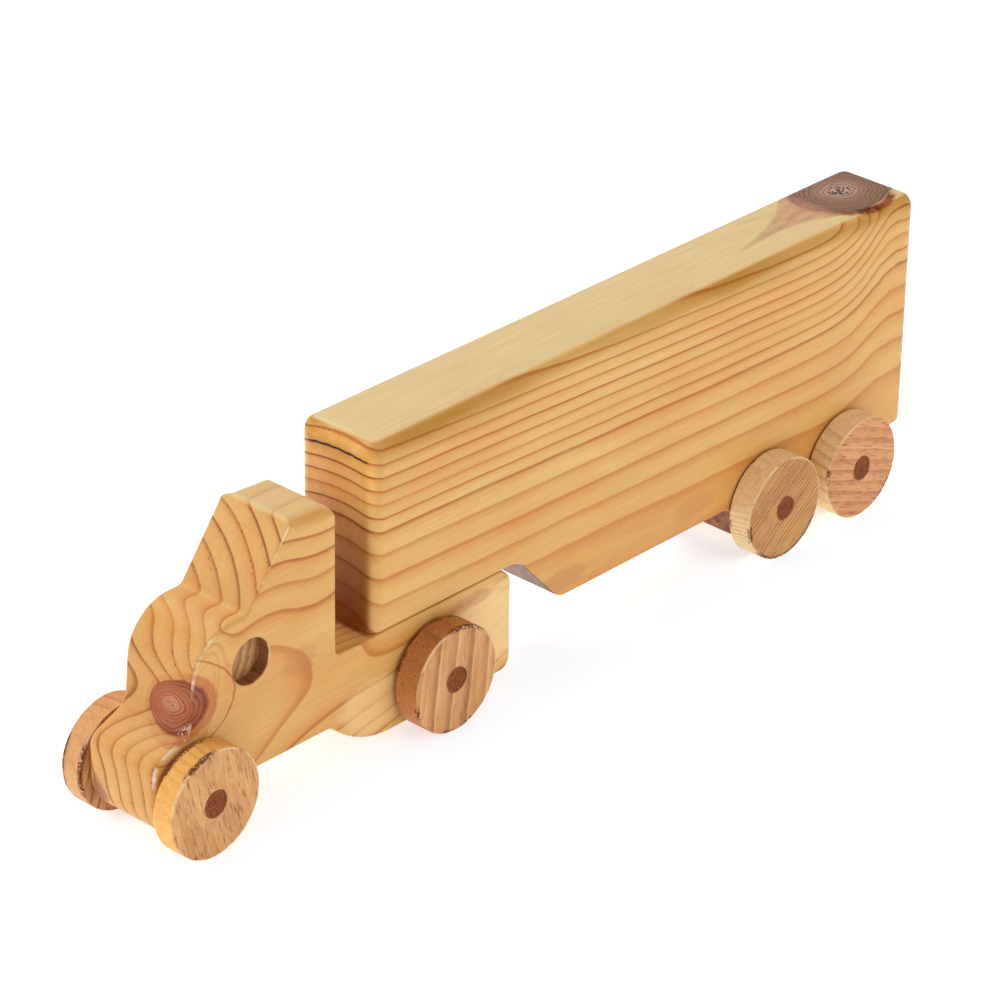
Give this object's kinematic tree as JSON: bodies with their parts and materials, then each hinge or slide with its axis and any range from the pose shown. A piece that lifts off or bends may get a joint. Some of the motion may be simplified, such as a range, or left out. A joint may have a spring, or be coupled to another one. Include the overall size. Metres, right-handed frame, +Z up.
{
  "type": "toy articulated lorry",
  "caption": "Wooden toy articulated lorry: a hooded tractor block with blind round windows pulls a long box trailer block on a loose hitch pin, all on plain disc wheels and dowel axles.",
  "frame": {"origin": "on the ground, under the middle of the lorry's whole length", "axes": "+X forward, +Y to the lorry's left, +Z up"},
  "size_m": [0.489, 0.0716, 0.1465],
  "materials": {
    "body_wood": "sanded pine with a thin honey-coloured oil or varnish",
    "wheel_wood": "rough band-sawn pine, lightly oiled",
    "dowel_wood": "dark open end grain"
  },
  "bodies": {
    "tractor": {"tractor_body": "body_wood"},
    "hitch_pin": {"hitch_pin": "dowel_wood"},
    "trailer": {"trailer_body": "body_wood"},
    "front_axle_set": {"front_axle_dowel": "dowel_wood", "front_left_wheel": "wheel_wood", "front_right_wheel": "wheel_wood"},
    "drive_axle_set": {"drive_axle_dowel": "dowel_wood", "drive_left_wheel": "wheel_wood", "drive_right_wheel": "wheel_wood"},
    "trailer_front_axle_set": {"trailer_front_axle_dowel": "dowel_wood", "trailer_front_left_wheel": "wheel_wood", "trailer_front_right_wheel": "wheel_wood"},
    "trailer_rear_axle_set": {"trailer_rear_axle_dowel": "dowel_wood", "trailer_rear_left_wheel": "wheel_wood", "trailer_rear_right_wheel": "wheel_wood"}
  },
  "joints": [
    {"name": "trailer_swing", "type": "hinge", "parent": "tractor", "child": "hitch_pin", "pos_m": [0.078, 0, 0.0564], "axis": [0, 0, 1], "range_deg": [-130, 130]},
    {"name": "trailer_lift", "type": "slide", "parent": "hitch_pin", "child": "trailer", "axis": [0, 0, 1], "range_m": [0, 0.017]},
    {"name": "front_axle_roll", "type": "hinge", "parent": "tractor", "child": "front_axle_set", "pos_m": [0.2195, 0, 0.025], "axis": [0, 1, 0], "continuous": true},
    {"name": "drive_axle_roll", "type": "hinge", "parent": "tractor", "child": "drive_axle_set", "pos_m": [0.078, 0, 0.025], "axis": [0, 1, 0], "continuous": true},
    {"name": "trailer_front_axle_roll", "type": "hinge", "parent": "trailer", "child": "trailer_front_axle_set", "pos_m": [-0.1405, 0, 0.025], "axis": [0, 1, 0], "continuous": true},
    {"name": "trailer_rear_axle_roll", "type": "hinge", "parent": "trailer", "child": "trailer_rear_axle_set", "pos_m": [-0.1965, 0, 0.025], "axis": [0, 1, 0], "continuous": true}
  ]
}
